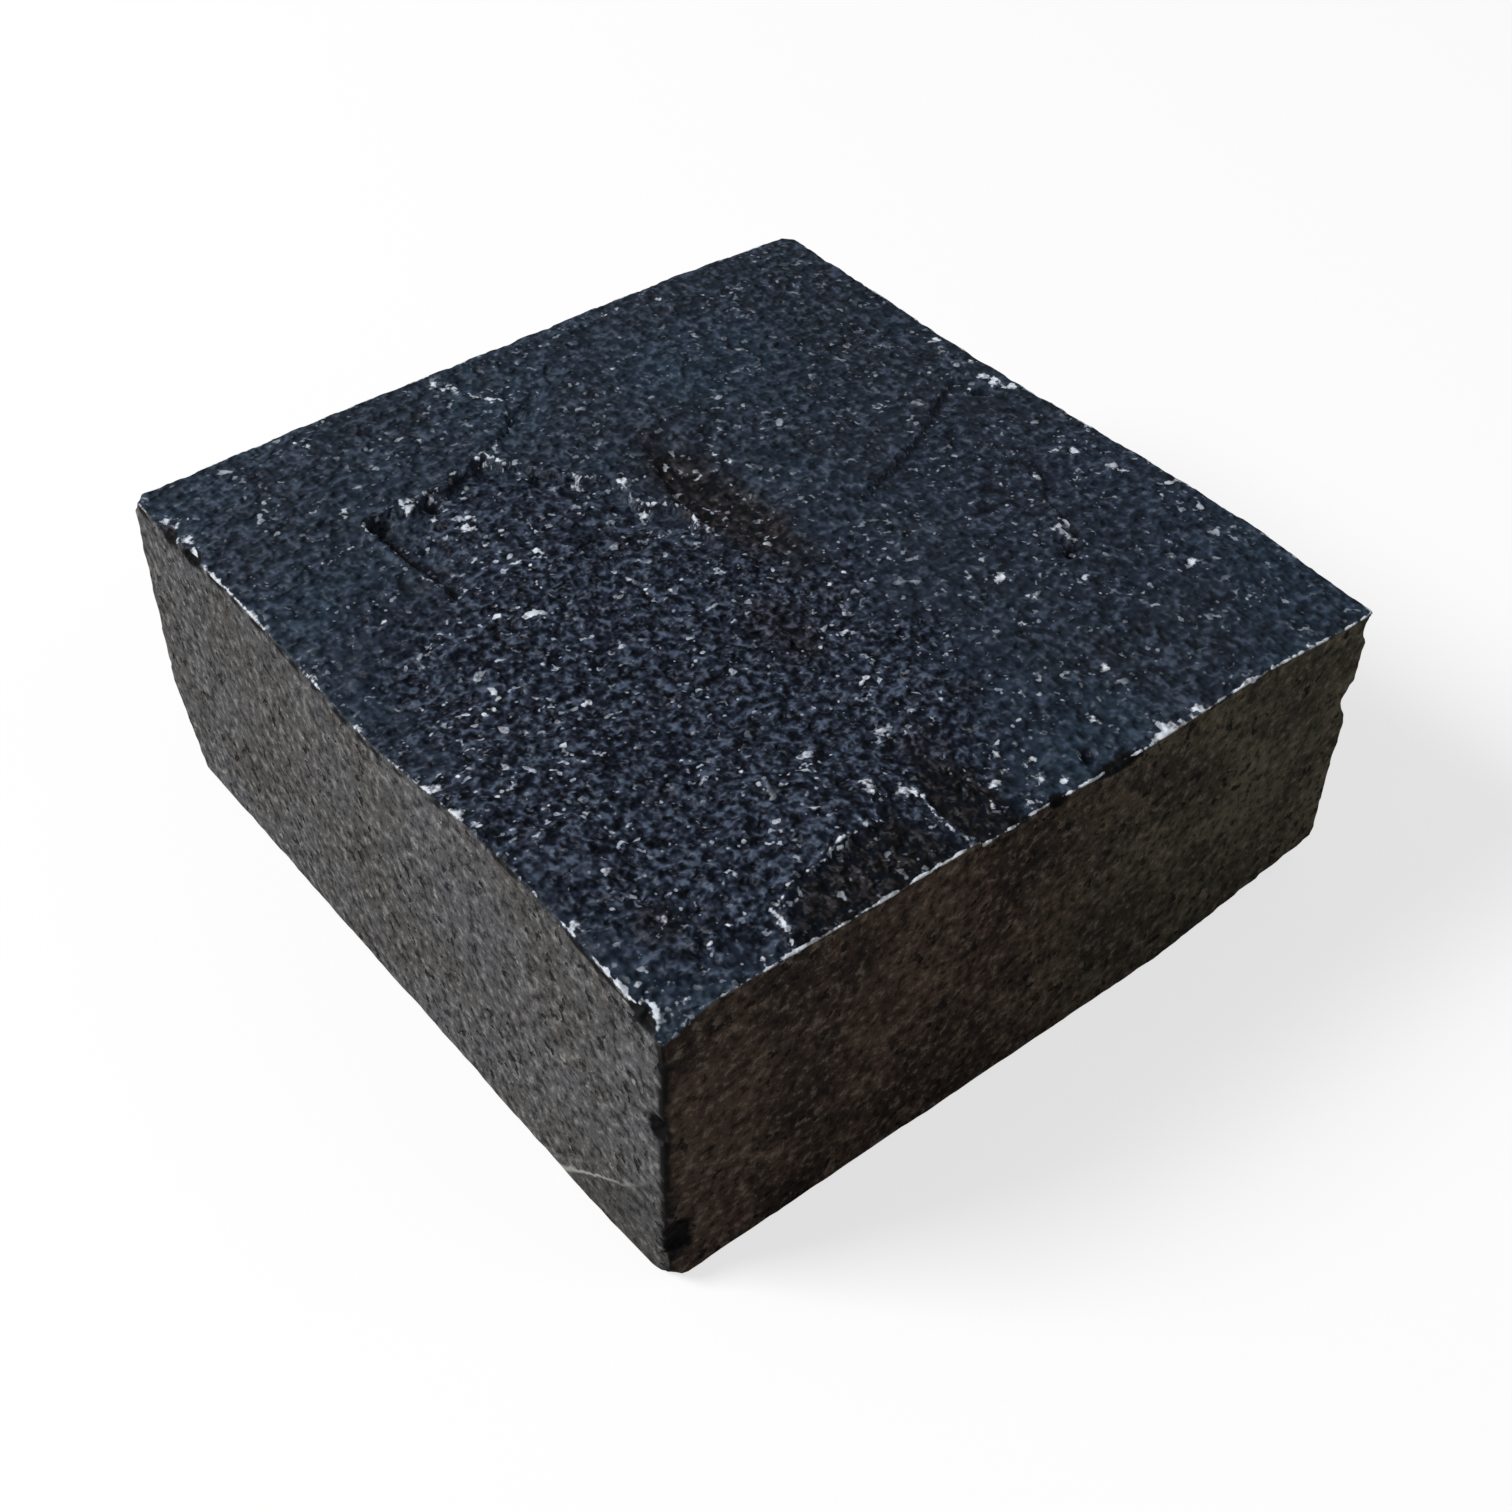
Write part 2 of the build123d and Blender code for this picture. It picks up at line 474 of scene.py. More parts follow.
def rough_ground(points):
    """1 where the fracture is knobbly, inside the patch scar and to the left front of it,
    less so on the right, and 0 where it is nearly smooth."""
    ragged = 0.25 * gradient_noise(points * (1, 1, 0), 7.0, 41)
    patch = blot(points, -17.0, 8.0, 15.0, 24.0, ragged, 1.15, 0.75)
    left_front = blot(points, -22.0, -20.0, 33.0, 38.0, ragged, 1.2, 0.7)
    right = blot(points, 36.0, -16.0, 16.0, 24.0, ragged, 1.2, 0.6)
    return np.maximum.reduce([0.8 * patch, left_front, 0.45 * right])


def graded(length, count):
    """Places from end to end of an edge. Steps are equal, but shrink to half towards both
    ends."""
    number = np.arange(count)
    from_end = np.minimum(number, count - 1 - number)
    steps = 1 - 0.5 * np.exp(-from_end / 4.0)
    places = np.concatenate([[0], np.cumsum(steps)])
    return length * (places / places[-1] - 0.5)


def border(steps_x, steps_y):
    """Row and column of a grid's border points, anticlockwise from the front left."""
    rise_x, rise_y = np.arange(steps_x), np.arange(steps_y)
    front, back = np.zeros(steps_x, int), np.full(steps_x, steps_y)
    left, right = np.zeros(steps_y, int), np.full(steps_y, steps_x)
    columns = np.concatenate([rise_x, right, steps_x - rise_x, left])
    rows = np.concatenate([front, rise_y, back, steps_y - rise_y])
    return columns, rows


def grid_faces(numbers):
    """Quads of a grid of point numbers, wound anticlockwise seen from its top."""
    corners = numbers[:-1, :-1], numbers[1:, :-1], numbers[1:, 1:], numbers[:-1, 1:]
    return np.stack(corners, axis=-1).reshape(-1, 4)


def band_faces(upper, lower):
    """Quads of the band between two closed rings with equally many points."""
    return np.stack([upper, lower, np.roll(lower, -1), np.roll(upper, -1)], axis=-1)


def halving_faces(upper, lower):
    """Triangles of the band between a ring and one below it with half its points."""
    start, middle, end = upper[0::2], upper[1::2], np.roll(upper[0::2], -1)
    after = np.roll(lower, -1)
    left = np.stack([start, lower, middle], axis=-1)
    below = np.stack([middle, lower, after], axis=-1)
    right = np.stack([middle, after, end], axis=-1)
    return np.concatenate([left, below, right])


def block_grid():
    """Points and faces of the block before it is worn: a grid over the top, rings down the
    sides that halve their points once below the arris and once at the foot, and a grid
    over the bed."""
    across = graded(2 * half_width, top_steps_x)
    along = graded(2 * half_depth, top_steps_y)
    x, y = np.meshgrid(across, along, indexing="ij")
    top = np.stack([x, y, swell_height(x, y)], axis=-1).reshape(-1, 3)
    numbers = np.arange(len(top)).reshape(x.shape)
    quads = [grid_faces(numbers)]
    triangles = []
    columns, rows = border(top_steps_x, top_steps_y)
    rim = numbers[columns, rows]
    points = [top]
    count = len(top)

    # Fine rows, 0.2 mm apart below the arris and widening to 0.5 mm.
    fine_drop = np.cumsum(0.2 + 0.3 * np.linspace(0, 1, fine_rows) ** 1.5) / mean_height
    levels = 1 - fine_drop
    above = rim
    for level in levels:
        ring = count + np.arange(len(rim))
        points.append(top[rim] * (1, 1, level))
        quads.append(band_faces(above, ring))
        above = ring
        count += len(ring)

    # Coarser rows, closing up to half their step towards the foot.
    coarse_rim = rim[::2]
    fall = np.cumsum(1 - 0.5 * np.exp(-np.arange(side_rows)[::-1] / 3.0))
    side_levels = levels[-1] * (1 - fall / fall[-1])
    for level in side_levels[:-1]:
        ring = count + np.arange(len(coarse_rim))
        points.append(top[coarse_rim] * (1, 1, level))
        if len(above) > len(ring):
            triangles.append(halving_faces(above, ring))
        else:
            quads.append(band_faces(above, ring))
        above = ring
        count += len(ring)

    # Bed.
    bed_x, bed_y = np.meshgrid(across[::bed_stride], along[::bed_stride], indexing="ij")
    bed = np.stack([bed_x, bed_y, np.zeros_like(bed_x)], axis=-1).reshape(-1, 3)
    bed_numbers = count + np.arange(len(bed)).reshape(bed_x.shape)
    points.append(bed)
    quads.append(grid_faces(bed_numbers)[:, ::-1])
    columns, rows = border(top_steps_x // bed_stride, top_steps_y // bed_stride)
    triangles.append(halving_faces(above, bed_numbers[columns, rows]))
    return np.concatenate(points), np.concatenate(quads), np.concatenate(triangles)


def cutting_surfaces(block):
    """The surfaces that shaped the stone, as one function that gives each point's height
    over each of them: plus is outside. A worn edge is the plane at 45 degrees to its two
    faces. A break is the plane through its three runs. A chip is a ball. The roughness of
    each surface is drawn once, at the points of the unworn block."""
    relief = cleft_relief(block)[0]

    # The saw leaves waves of 0.1 mm. Hackle roughens the breaks and the chips. Crumbling
    # makes the worn edges uneven.
    saw_waves = 0.05 + 0.05 * gradient_noise(block, 17.0, 51)
    saw_waves += 0.03 * gradient_noise(block, 3.0, 52)
    hackle = broken_rock(block, 3.0, 3, 0.22, 0.6, 61)
    on_rim = [((x, y, swell_height(x, y)), *rest) for x, y, *rest in rim_chips]
    crumble = broken_rock(block, 4.0, 3, 1.0, 0.75, 71)
    top_wear = 0.10 + 0.3 * crumble
    corner_wear = 0.15 + 0.3 * np.maximum(crumble, -0.4)
    foot_wear = 0.28 + 0.15 * crumble

    def heights(points):
        x, y, z = points.T
        side_x = np.abs(x) - half_width + saw_waves
        side_y = np.abs(y) - half_depth + saw_waves
        side = np.maximum(side_x, side_y)
        bed = -z
        top = z - swell_height(x, y) - relief
        found = [
            side,
            bed,
            top,
            (top + side) / 2**0.5 + top_wear,
            (side_x + side_y) / 2**0.5 + corner_wear,
            (side + bed) / 2**0.5 + foot_wear,
        ]
        for sign_x, sign_y, corner_z, run_x, run_y, run_z in (*broken_feet, broken_rim):
            away_x = (half_width - sign_x * x) / run_x
            away_y = (half_depth - sign_y * y) / run_y
            away_z = np.abs(z - corner_z) / run_z
            steepness = (run_x**-2 + run_y**-2 + run_z**-2) ** 0.5
            plane = (1 - away_x - away_y - away_z) / steepness
            found.append(plane + hackle * min(1.0, run_x / 2.0))
        for edge_point, way_out, radius, bite in (*on_rim, *edge_chips):
            way_out = np.array(way_out) / np.linalg.norm(way_out)
            middle = np.array(edge_point) + way_out * (radius - bite)
            found.append(radius - np.linalg.norm(points - middle, axis=1) + 0.5 * hackle)
        return np.stack(found)

    return heights


def worn_stone(block):
    """Moves each point of the block to the stone's surface. A point lies on a ray that
    starts inside, ray_depth from every face, so that rays fan out round the edges. The ray
    leaves the stone where it first rises over a cutting surface, found by halving. Where
    two surfaces meet, the edge is rounded over soft_edge."""
    heights = cutting_surfaces(block)
    reach = np.array([half_width, half_depth, 0]) - ray_depth
    start = block.copy()
    start[:, :2] = np.clip(block[:, :2], -reach[:2], reach[:2])
    roof = swell_height(block[:, 0], block[:, 1]) - ray_depth
    start[:, 2] = np.clip(block[:, 2], ray_depth, roof)
    inside = np.zeros(len(block))
    outside = np.full(len(block), ray_overshoot)
    for _ in range(halvings):
        middle = (inside + outside) / 2
        points = start + (block - start) * middle[:, None]
        found = heights(points)
        second, first = np.partition(found, -2, axis=0)[-2:]
        over = first + np.maximum(soft_edge - (first - second), 0) ** 2 / (4 * soft_edge)
        inside = np.where(over < 0, middle, inside)
        outside = np.where(over < 0, outside, middle)
    points = start + (block - start) * inside[:, None]
    return np.clip(points, box_low, box_high), heights(points)


def unbroken_arris(found):
    """1 where the side or the top is whole, and 0 where an edge, a break or a chip has gone
    half a millimetre below both."""
    return smooth_step(np.maximum(found[SIDE], found[TOP]) - found.max(axis=0), -0.5, -0.2)


def near_front_corner(points):
    """0 along most of the left side, and 1 near its front end."""
    return smooth_step(points[:, 1], -34.0, -40.0)


def arris_bruise_and_highlight(points, found, patchy, left_side, front_side):
    """How white the arris of the split face is, as crushed stone and painted highlight: a thin
    broken band where the top meets a side, knotty at the front end of the left arris."""
    inward = found[TOP] - found[SIDE]
    near_front = near_front_corner(points)
    knots = smooth_step(patchy, 0.0, 0.5)
    width = 0.25 + (0.15 + 0.3 * left_side * near_front) * knots
    band = smooth_step(inward, -0.22, -0.02) * smooth_step(inward, width + 0.1, 0.6 * width)
    strength = 0.4 - 0.1 * left_side + 0.25 * front_side + 0.35 * near_front * left_side
    lowest = 0.1 + 0.3 * near_front
    highest = 0.95 - 0.3 * left_side * (1 - near_front)
    return np.clip(strength + 0.9 * patchy, lowest, highest) * band * unbroken_arris(found)


def corner_bruise_and_highlight(points, found, patchy):
    """How white the front left corner is: crushed stone and painted highlight along the lip of
    its break, and a painted highlight in a streak that runs down the break from streak_top."""
    x, z = points[:, 0], points[:, 2]
    over_top = found[broken_rim_row] - found[TOP]
    lip = np.exp(-(((over_top + 0.1) / 0.2) ** 2)) * smooth_step(z, 39.0, 39.5)
    lip *= np.clip(0.15 + 0.8 * smooth_step(x, -46.4, -47.8) + 0.7 * patchy, 0, 1)
    streak_top, streak_foot = np.array([-47.7, -48.2, 40.0]), np.array([-49.0, -50.6, 38.2])
    streak = streak_foot - streak_top
    share = np.clip((points - streak_top) @ streak / (streak @ streak), 0, 1)
    away = np.linalg.norm(points - streak_top - share[:, None] * streak, axis=1)
    return np.maximum(lip, np.exp(-((away / 0.45) ** 2)) * (0.9 - 0.5 * share))


def rim_bruise_and_highlight(points, patchy, left_side):
    """How white the split face is flecked along its rim, as crushed stone and painted highlight:
    a narrow strip all round, wider ones at the front corner, on the right half of the front
    and in the middle of the right, and a white band on the front arris, right of the middle."""
    x, y = points[:, 0], points[:, 1]
    from_left, from_front = x + half_width, y + half_depth
    from_side = np.minimum(half_width - np.abs(x), half_depth - np.abs(y))
    all_round = np.exp(-((from_side / 0.9) ** 2)) * (0.5 + 0.4 * left_side)
    width = 0.9 + 1.2 * smooth_step(x, 26.0, 20.0)
    front_right = 1.3 * np.exp(-((from_front / width) ** 2)) * smooth_step(x, 10.0, 14.0)
    left_front = 0.8 * np.exp(-((from_left / 1.6) ** 2)) * smooth_step(y, -30.0, -36.0)
    front_left = np.exp(-((from_front / 2.0) ** 2)) * smooth_step(x, -34.0, -38.0)
    right = np.exp(-(((x - 47.6) / 1.3) ** 2)) * smooth_step(np.abs(y - 12.5), 8.5, 6.0)
    strips = np.maximum.reduce([all_round, front_right, left_front, front_left, right])
    flecks = 0.8 * smooth_step(patchy, 0.15, 0.5) * strips
    band = 1.6 * np.exp(-((from_front - 0.5) ** 2)) * smooth_step(np.abs(x - 18.0), 5.0, 3.5)
    return np.maximum(flecks, np.clip(0.36 + 0.5 * patchy, 0, 0.7) * band)


def spot_bruise_and_highlight(points):
    """How white the spots of the split face are, crushed stone and painted highlights:
    bell-shaped, with warped rims.
    """
    warped_x = points[:, 0] + 0.5 * gradient_noise(points, 0.9, 86)
    warped_y = points[:, 1] + 0.5 * gradient_noise(points, 0.9, 87)
    white = np.zeros(len(points))
    for middle_x, middle_y, radius in white_spots:
        away = np.hypot(warped_x - middle_x, warped_y - middle_y) / radius
        white = np.maximum(white, np.exp(-(away**2)))
    return white


def edge_shadow(points, found, left_side):
    """Painted shade: how dark the undercut just below the left arris is painted, in broken
    runs, and the painted shade line down the front left edge."""
    x, y, z = points.T
    inward = found[TOP] - found[SIDE]
    undercut = smooth_step(inward, -0.05, -0.2) * smooth_step(inward, -1.1, -0.7) * left_side
    undercut *= unbroken_arris(found)
    runs = gradient_noise(points, 2.6, 88) + 0.5 * near_front_corner(points)
    undercut *= smooth_step(runs, -0.05, 0.25)
    from_edge = x + half_width + y + half_depth + 0.9 * gradient_noise(points, 1.6, 89)
    edge = smooth_step(from_edge, 0.95, 0.65) * smooth_step(z, 39.0, 38.0)
    return np.maximum(1.7 * undercut, edge)


def top_iron(points, scarred):
    """How brown iron stains the split face: the listed stains and small spots at random,
    fainter on the floors of the flake scars."""
    flat = points * (1, 1, 0)
    wander = 2.5 * gradient_noise(flat, 4.0, 83)
    brown = 0.4 * smooth_step(gradient_noise(flat, 6.0, 84), 0.42, 0.6)
    for x, y, reach_x, reach_y, ragged, ends, full, strength in iron_stains:
        stain = blot(points, x, y, reach_x, reach_y, ragged * wander, ends, full)
        brown = np.maximum(brown, strength * stain)
    return brown * (1 - 0.7 * scarred)


def surface_masks(block, points, found):
    """What the finish reads at each point: how far it is split, chipped, torn off at a foot,
    white as crushed stone and painted highlight, painted dark as shade in a wall, a pit or an
    undercut, a flake scar, stained by iron on the split face and browner towards the left on
    the sawn faces, painted light on the left side and dark on the front with dust mottling
    the back and right, and rough, and how many millimetres it lies below the ridge of the
    spall.
    A point belongs to the cutting surface that it rises highest over, so the first masks
    compare the heights in found."""
    x, y, z = points.T
    sawn = np.maximum(found[SIDE], found[BED])
    split = np.maximum.reduce([found[TOP], found[TOP_EDGE], found[broken_rim_row]])
    feet = found[first_foot:broken_rim_row].max(axis=0)
    torn_feet = found[first_foot + 1 : broken_rim_row].max(axis=0)
    shells = found[broken_rim_row + 1 :].max(axis=0)
    cleft = smooth_step(split - np.maximum(sawn, found[CORNER_EDGE]), -0.12, 0.12)
    past_side_x, past_side_y = np.abs(x) - half_width, np.abs(y) - half_depth
    left_side = smooth_step(past_side_x - past_side_y, -0.15, 0.15) * (x < 0)
    front_side = smooth_step(past_side_y - past_side_x, -0.15, 0.15) * (y < 0)
    on_top = smooth_step(z, mean_height - 3.5, mean_height - 1.5)
    _, lip, deep, scarred = cleft_relief(block)

    patchy = gradient_noise(points, 3.0, 81) + 0.6 * gradient_noise(points, 1.1, 82)
    bruises_and_highlights = (
        arris_bruise_and_highlight(points, found, patchy, left_side, front_side),
        0.9 * corner_bruise_and_highlight(points, found, patchy),
        0.9 * lip * cleft,
        rim_bruise_and_highlight(points, patchy, left_side) * cleft,
        0.75 * spot_bruise_and_highlight(points) * cleft * (1 - 0.9 * deep),
    )
    # The sawn faces turn browner towards the left, between x = 38 and x = -10 mm.
    side_warmth = smooth_step(x, 38.0, -10.0)
    mottle = 0.5 + 0.35 * gradient_noise(points, 14.0, 85)
    below_ridge, _ = along_line(y, z, spall_ridge)
    kept_distance = np.clip(below_ridge + ridge_reach, 0.0, 2 * ridge_reach)
    return {
        "cleft": cleft,
        "chipped": smooth_step(shells - np.maximum.reduce([sawn, feet, split]), -0.15, 0.05),
        "torn": smooth_step(torn_feet - np.maximum(sawn, split), -0.1, 0.1),
        # White as crushed stone and as painted highlight.
        "crushed_and_highlit": np.clip(np.maximum.reduce(bruises_and_highlights), 0, 1),
        # Painted shade.
        "deep": np.clip(np.maximum(deep * cleft, edge_shadow(points, found, left_side)), 0, 1),
        "scarred": scarred * cleft,
        "iron": cleft * top_iron(points, scarred) * on_top + (1 - cleft) * side_warmth,
        # Painted light and shade of the sawn faces: 1 on the left side, painted as lit, 0 on the
        # front, painted as in shade, and mottled like saw dust on the back and right.
        "painted_light_and_dust": np.maximum(left_side, mottle * (1 - front_side)),
        "rough": rough_ground(points) * on_top,
        "spall": kept_distance * left_side - ridge_reach,
    }


def linear(colour):
    """An sRGB hex colour as linear red, green, blue and alpha."""
    shares = [int(colour[place : place + 2], 16) / 255 for place in (1, 3, 5)]
    curved = [((share + 0.055) / 1.055) ** 2.4 for share in shares]
    straight = [share / 12.92 for share in shares]
    parts = zip(shares, straight, curved)
    return [low if share <= 0.04045 else high for share, low, high in parts] + [1.0]


def per_metre(size):
    """The scale of a pattern whose cells measure size millimetres."""
    return 1 / (size * MM)


# Kinds of node: the type, its settings, its inputs in the order in which add fills them,
# and the output that is read.
OBJECT_PLACE = ("ShaderNodeTexCoord", {}, (), "Object")
ALONG_Y = ("ShaderNodeSeparateXYZ", {}, ("Vector",), "Y")
NOISE = ("ShaderNodeTexNoise", {}, ("Vector", "Scale", "Detail", "Roughness"), "Fac")
COLOUR_NOISE = ("ShaderNodeTexNoise", {}, ("Vector", "Scale", "Detail"), "Color")
RANGE_INPUTS = ("Value", "From Min", "From Max", "To Min", "To Max")
RANGE = ("ShaderNodeMapRange", {"interpolation_type": "SMOOTHSTEP"}, RANGE_INPUTS, "Result")
MIX = ("ShaderNodeMix", {"data_type": "RGBA"}, (0, 6, 7), 2)
TIMES = ("ShaderNodeMath", {"operation": "MULTIPLY"}, (0, 1), 0)
PLUS = ("ShaderNodeMath", {"operation": "ADD"}, (0, 1), 0)
LESS = ("ShaderNodeMath", {"operation": "SUBTRACT"}, (0, 1), 0)
LARGER = ("ShaderNodeMath", {"operation": "MAXIMUM"}, (0, 1), 0)
UNSIGNED = ("ShaderNodeMath", {"operation": "ABSOLUTE"}, (0,), 0)
VECTOR_PLUS = ("ShaderNodeVectorMath", {"operation": "ADD"}, (0, 1), 0)
VECTOR_LESS = ("ShaderNodeVectorMath", {"operation": "SUBTRACT"}, (0, 1), 0)
VECTOR_TIMES = ("ShaderNodeVectorMath", {"operation": "SCALE"}, (0, "Scale"), 0)
UNIT_VECTOR = ("ShaderNodeVectorMath", {"operation": "NORMALIZE"}, (0,), 0)
BUMP = ("ShaderNodeBump", {}, ("Strength", "Distance", "Height", "Normal"), "Normal")
STONE_INPUTS = ("Base Color", "Roughness", "IOR", "Specular IOR Level", "Normal")
STONE = ("ShaderNodeBsdfPrincipled", {}, STONE_INPUTS, "BSDF")
CAMERA_RAY = ("ShaderNodeLightPath", {}, (), "Is Camera Ray")
DIFFUSE = ("ShaderNodeBsdfDiffuse", {}, ("Color",), "BSDF")
GLOW = ("ShaderNodeEmission", {}, ("Color", "Strength"), "Emission")
BACKGROUND = ("ShaderNodeBackground", {}, ("Color", "Strength"), 0)
SHADER_MIX = ("ShaderNodeMixShader", {}, (0, 1, 2), "Shader")
MATERIAL_END = ("ShaderNodeOutputMaterial", {}, ("Surface",), None)
WORLD_END = ("ShaderNodeOutputWorld", {}, ("Surface",), None)


def add(tree, kind, *values):
    """Adds a node of one of the kinds above, fills its inputs with values or links, and
    gives its output."""
    node_type, settings, inputs, output = kind
    made = tree.nodes.new(node_type)
    for setting, choice in settings.items():
        setattr(made, setting, choice)
    for socket, value in zip(inputs, values):
        if isinstance(value, bpy.types.NodeSocket):
            tree.links.new(value, made.inputs[socket])
        else:
            made.inputs[socket].default_value = value
    return None if output is None else made.outputs[output]


def emptied_tree(owner):
    """The node tree of a material or a world, without its default nodes."""
    owner.use_nodes = True
    owner.node_tree.nodes.clear()
    return owner.node_tree


mask_names = (
    "cleft",
    "chipped",
    "torn",
    "crushed_and_highlit",
    "deep",
    "scarred",
    "iron",
    "painted_light_and_dust",
    "rough",
    "spall",
)

# Patterns of the stone: the width of a cell in millimetres, then the detail and roughness of
# the noise. Basalt's grains measure 0.3 to 0.5 mm and its pores up to 1 mm. A cell is two to
# three times as wide as the mark that it leaves, and the grains, specks, powder and
# speckle are drawn slightly coarser than life, because finer ones don't show in the render.
patterns = {
    "tone": (26.0, 2.0, 0.6),
    "smooth grain": (1.3, 1.0, 0.6),
    "rough grain": (1.05, 1.0, 0.6),
    "specks": (0.95, 1.0, 0.6),
    "speck clusters": (5.0, 2.0, 0.6),
    "flecks": (1.7, 1.5, 0.6),
    "fleck clusters": (9.0, 2.0, 0.6),
    "powder": (0.9, 2.0, 0.6),
    "saw speckle": (1.3, 4.0, 0.72),
    "saw clouds": (11.0, 4.0, 0.7),
    "pores": (1.7, 2.0, 0.6),
    "pore clusters": (8.0, 2.0, 0.6),
    "chalk": (1.4, 2.0, 0.6),
    "chalk clusters": (12.0, 2.0, 0.6),
}
grain_tilt_size = 1.2
split_bump_height = 0.9
sawn_bump_height = 0.35


def split_and_sawn_basalt():
    """Basalt: a dense black lava of fine plagioclase needles in dark pyroxene. Split, it
    breaks into blue-black grains that glint, the blue partly a painted sky reflection and the
    glints partly painted highlights. Sawn, it is matt grey-brown with small open pores,
    painted lighter on the lit left side and darker on the shaded front. Both are one
    material, because the mask cleft fades between them."""
    material = bpy.data.materials.new("split_and_sawn_basalt")
    tree = emptied_tree(material)
    put = partial(add, tree)
    place = put(OBJECT_PLACE)
    mask = {}
    for name in mask_names:
        mask[name] = put(("ShaderNodeAttribute", {"attribute_name": name}, (), "Fac"))
    pattern = {
        name: put(NOISE, place, per_metre(size), detail, roughness)
        for name, (size, detail, roughness) in patterns.items()
    }
    rough, scarred, iron, painted_light_and_dust = mask["rough"], mask["scarred"], mask["iron"], mask["painted_light_and_dust"]
    speckle, powder = pattern["saw speckle"], pattern["powder"]

    # Split face: the ground is teal-black where it is smooth and violet-black where it is
    # rough, its blue partly painted as sky reflection. It is painted darker between its grains
    # and in walls, pits and undercuts as shade, paler on the raised grains as painted light,
    # and rusty where iron stains it.
    grain = put(MIX, rough, pattern["smooth grain"], pattern["rough grain"])
    # Painted shade: dark gaps between the grains, and the walls, pits and undercuts.
    gaps = put(TIMES, put(RANGE, grain, 0.52, 0.38), put(RANGE, rough, 0.0, 1.0, 0.5, 1.0))
    gaps = put(LARGER, gaps, mask["deep"])
    # Painted light on the raised grains, dimmer on the scar floors and where shade is painted.
    pale = put(TIMES, put(RANGE, grain, 0.52, 0.66), put(RANGE, rough, 0.0, 1.0, 0.5, 0.85))
    pale = put(TIMES, pale, put(RANGE, scarred, 0.0, 1.0, 1.0, 0.6))
    pale = put(TIMES, pale, put(RANGE, mask["deep"], 0.0, 1.0, 1.0, 0.2))
    pale_colour = put(MIX, scarred, linear("#444f60"), linear("#353135"))
    rust = put(MIX, put(RANGE, grain, 0.42, 0.66), linear("#040404"), linear("#281f1c"))

    # Painted glints: crystals that face the light are painted as pale specks and flecks in
    # loose clusters, most of them on rough ground. Crushed stone is white powder, and the same
    # white carries the painted highlights of lips, arrises and spots.
    lively = put(LARGER, put(RANGE, rough, 0.0, 1.0, 0.45, 1.0), put(TIMES, iron, 0.65))
    lively = put(TIMES, lively, put(RANGE, scarred, 0.0, 1.0, 1.0, 0.45))
    speck_clusters = put(TIMES, put(RANGE, pattern["speck clusters"], 0.44, 0.62, 0.1, 1.0), lively)
    specks = put(TIMES, put(RANGE, pattern["specks"], 0.63, 0.70), speck_clusters)
    fleck_clusters = put(TIMES, put(RANGE, pattern["fleck clusters"], 0.46, 0.62), lively)
    flecks = put(TIMES, put(RANGE, pattern["flecks"], 0.65, 0.70), fleck_clusters)
    white = put(RANGE, put(PLUS, mask["crushed_and_highlit"], put(TIMES, powder, 1.6)), 1.15, 1.5)

    tone = put(RANGE, pattern["tone"], 0.4, 0.6)
    split_colour = put(MIX, tone, linear("#1e2530"), linear("#1f2c39"))
    for share, layer in (
        (rough, linear("#1d2331")),
        # Flake scar floors are painted near black, as shade on floors that slope away from the
        # light.
        (scarred, linear("#0b0b0d")),
        (gaps, linear("#030915")),
        (pale, pale_colour),
        (put(TIMES, iron, 0.8), rust),
        # Painted glints.
        (specks, linear("#9ca5b2")),
        (flecks, linear("#c6ccd6")),
        (white, linear("#c3c9d2")),
    ):
        split_colour = put(MIX, share, split_colour, layer)

    # Sawn faces: warm dark stone on the front, painted as in shade, and greyer, lighter stone
    # on the left, painted as lit, with saw dust mottling the back and right between the two;
    # all in soft clouds, with paler and darker grains.
    warm = put(MIX, iron, linear("#575343"), linear("#4c3d33"))
    shady = put(MIX, iron, linear("#3a362c"), linear("#2b211c"))
    shaded_and_clean = put(MIX, put(RANGE, pattern["saw clouds"], 0.34, 0.66), shady, warm)
    lit_and_dusty_share = put(RANGE, pattern["saw clouds"], 0.3, 0.7)
    lit_and_dusty = put(MIX, lit_and_dusty_share, linear("#474542"), linear("#4e4e51"))
    light_grain = put(MIX, painted_light_and_dust, linear("#7d7064"), linear("#8b8987"))
    shaded_and_clean_dark_grain = put(MIX, iron, linear("#201d18"), linear("#120e0b"))
    dark_grain = put(MIX, painted_light_and_dust, shaded_and_clean_dark_grain, linear("#1c1b1b"))

    # The spall at the front left foot is a shade darker, below a thin pale ridge, a painted
    # highlight along the ledge, that is widest at its low end and fades towards the front edge.
    below_ridge = put(PLUS, mask["spall"], put(RANGE, speckle, 0.2, 0.8, -0.2, 0.2))
    shaded = put(LARGER, mask["torn"], put(RANGE, below_ridge, -0.2, 0.2))
    along = put(ALONG_Y, place)
    widening = put(RANGE, along, -36.5 * MM, -34.5 * MM, 1.0, 0.45)
    from_ridge = put(TIMES, put(UNSIGNED, below_ridge), widening)
    fading = put(RANGE, along, -50.0 * MM, -37.0 * MM)
    ridge = put(TIMES, put(RANGE, from_ridge, 0.28, 0.04), fading)

    # Open pores, in clusters, and chalky marks on the lit and dusty faces.
    pore_clusters = put(RANGE, pattern["pore clusters"], 0.42, 0.56)
    pores = put(TIMES, put(RANGE, pattern["pores"], 0.60, 0.65), pore_clusters)
    chalk_clusters = put(RANGE, pattern["chalk clusters"], 0.5, 0.62)
    chalk = put(TIMES, put(RANGE, pattern["chalk"], 0.66, 0.70), chalk_clusters)
    sawn_white = put(RANGE, put(PLUS, mask["crushed_and_highlit"], put(TIMES, powder, 0.8)), 0.6, 1.15)

